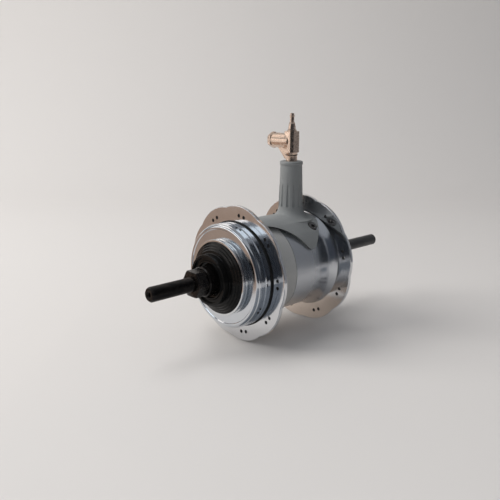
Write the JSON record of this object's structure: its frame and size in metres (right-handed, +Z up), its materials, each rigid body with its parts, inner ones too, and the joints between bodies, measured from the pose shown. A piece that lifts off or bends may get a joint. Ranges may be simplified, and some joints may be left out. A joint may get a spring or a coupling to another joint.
{
  "type": "internal gear hub",
  "caption": "Rear wheel hub with planetary gears inside a polished shell, lobed spoke flanges, a stepped end drum and a grey stem saddle with an elbow fitting.",
  "frame": {"origin": "centre of the left flange's outer face, on the axle's axis", "axes": "Y along the axle with +Y to the sprocket side, Z up along the stem, X across in the wheel's plane"},
  "size_m": [0.0963, 0.2268, 0.1558],
  "materials": {
    "black_steel": "black oxide",
    "black_plastic": "satin",
    "gloss_black_plastic": "gloss",
    "black_rubber": "matte",
    "polished_alloy": "polished",
    "chrome_steel": "bright plated",
    "zinc_steel": "zinc plated",
    "bearing_steel": "ground",
    "gear_steel": "hardened and oiled",
    "spring_steel": "bright drawn",
    "dark_screw": "dark plated",
    "grey_plastic": "moulded satin",
    "plated_brass": "nickel plated, warm tone"
  },
  "bodies": {
    "axle_set": {"axle": "black_steel", "sun_gear": "gear_steel", "left_cone": "black_steel", "left_locknut": "black_steel", "right_cone": "bearing_steel", "right_lock_washer": "zinc_steel", "right_locknut": "zinc_steel", "rod_guide": "black_plastic", "clutch_spring": "spring_steel"},
    "shell": {"hub_shell": "polished_alloy", "left_flange": "polished_alloy", "right_flange": "polished_alloy", "left_drum": "polished_alloy", "seal_ring": "black_rubber", "knurled_ring": "chrome_steel", "dust_cover": "gloss_black_plastic", "grey_band": "grey_plastic", "right_ball_ring": "bearing_steel", "stem_saddle": "grey_plastic", "saddle_screws": "dark_screw", "stem_nipple": "plated_brass", "elbow_body": "plated_brass", "elbow_cap": "plated_brass", "valve_stem": "plated_brass"},
    "valve": {"valve_pin": "plated_brass"},
    "left_ball_set": {"left_balls": "bearing_steel"},
    "right_ball_set": {"right_balls": "bearing_steel"},
    "driver_ball_set": {"driver_balls": "bearing_steel"},
    "ring": {"ring_gear": "gear_steel", "pawl_pins": "gear_steel"},
    "pawl_a": {"drive_pawl_1": "gear_steel"},
    "pawl_b": {"drive_pawl_2": "gear_steel"},
    "carrier": {"planet_carrier": "gear_steel", "planet_pins": "gear_steel"},
    "planet_a": {"planet_gear_1": "gear_steel"},
    "planet_b": {"planet_gear_2": "gear_steel"},
    "planet_c": {"planet_gear_3": "gear_steel"},
    "planet_d": {"planet_gear_4": "gear_steel"},
    "driver_set": {"driver": "bearing_steel", "sprocket": "chrome_steel", "snap_ring": "spring_steel", "driver_dust_cover": "black_plastic"},
    "clutch_set": {"clutch": "gear_steel"},
    "shift_set": {"shift_rod": "spring_steel", "axle_key": "gear_steel", "thrust_ring": "gear_steel"}
  },
  "joints": [
    {"name": "shell_spin", "type": "hinge", "parent": "axle_set", "child": "shell", "pos_m": [0, 0.0335, 0], "axis": [0, 1, 0], "continuous": true},
    {"name": "ring_spin", "type": "hinge", "parent": "axle_set", "child": "ring", "pos_m": [0, 0.028, 0], "axis": [0, 1, 0], "continuous": true},
    {"name": "carrier_spin", "type": "hinge", "parent": "axle_set", "child": "carrier", "pos_m": [0, 0.028, 0], "axis": [0, 1, 0], "continuous": true},
    {"name": "driver_spin", "type": "hinge", "parent": "axle_set", "child": "driver_set", "pos_m": [0, 0.065, 0], "axis": [0, 1, 0], "continuous": true},
    {"name": "left_ball_spin", "type": "hinge", "parent": "axle_set", "child": "left_ball_set", "pos_m": [0, -0.008, 0], "axis": [0, 1, 0], "continuous": true},
    {"name": "right_ball_spin", "type": "hinge", "parent": "axle_set", "child": "right_ball_set", "pos_m": [0, 0.0715, 0], "axis": [0, 1, 0], "continuous": true},
    {"name": "driver_ball_spin", "type": "hinge", "parent": "axle_set", "child": "driver_ball_set", "pos_m": [0, 0.0775, 0], "axis": [0, 1, 0], "continuous": true},
    {"name": "planet_1_spin", "type": "hinge", "parent": "carrier", "child": "planet_a", "pos_m": [0.016, 0.028, 0], "axis": [0, 1, 0], "continuous": true},
    {"name": "planet_2_spin", "type": "hinge", "parent": "carrier", "child": "planet_b", "pos_m": [0, 0.028, 0.016], "axis": [0, 1, 0], "continuous": true},
    {"name": "planet_3_spin", "type": "hinge", "parent": "carrier", "child": "planet_c", "pos_m": [-0.016, 0.028, 0], "axis": [0, 1, 0], "continuous": true},
    {"name": "planet_4_spin", "type": "hinge", "parent": "carrier", "child": "planet_d", "pos_m": [0, 0.028, -0.016], "axis": [0, 1, 0], "continuous": true},
    {"name": "pawl_1_hinge", "type": "hinge", "parent": "ring", "child": "pawl_a", "pos_m": [0.0213, 0.061, 0], "axis": [0, 1, 0], "range_deg": [-14, 0], "stiffness_Nm_per_rad": 0.0015, "springref_deg": 5.73},
    {"name": "pawl_2_hinge", "type": "hinge", "parent": "ring", "child": "pawl_b", "pos_m": [-0.0213, 0.061, 0], "axis": [0, 1, 0], "range_deg": [-14, 0], "stiffness_Nm_per_rad": 0.0015, "springref_deg": 5.73},
    {"name": "rod_slide", "type": "slide", "parent": "axle_set", "child": "shift_set", "axis": [0, 1, 0], "range_m": [0, 0.0032], "stiffness_N_per_m": 900, "springref_m": -0.004, "deforming": ["clutch_spring"]},
    {"name": "clutch_slide", "type": "slide", "parent": "driver_set", "child": "clutch_set", "axis": [0, 1, 0], "range_m": [0, 0.0032]},
    {"name": "valve_pin_slide", "type": "slide", "parent": "shell", "child": "valve", "axis": [0, 0, -1], "range_m": [0, 0.0012], "stiffness_N_per_m": 20, "springref_m": -0.003}
  ],
  "couplings": [
    {"joint": "ring_spin", "follows": "shell_spin", "ratio": 1},
    {"joint": "driver_spin", "follows": "shell_spin", "ratio": 1},
    {"joint": "right_ball_spin", "follows": "shell_spin", "ratio": 1},
    {"joint": "carrier_spin", "follows": "shell_spin", "ratio": 0.75},
    {"joint": "planet_1_spin", "follows": "shell_spin", "ratio": 0.75},
    {"joint": "planet_2_spin", "follows": "shell_spin", "ratio": 0.75},
    {"joint": "planet_3_spin", "follows": "shell_spin", "ratio": 0.75},
    {"joint": "planet_4_spin", "follows": "shell_spin", "ratio": 0.75},
    {"joint": "left_ball_spin", "follows": "shell_spin", "ratio": 0.5748},
    {"joint": "driver_ball_spin", "follows": "shell_spin", "ratio": 0.5732},
    {"joint": "clutch_slide", "follows": "rod_slide", "ratio": 1}
  ]
}
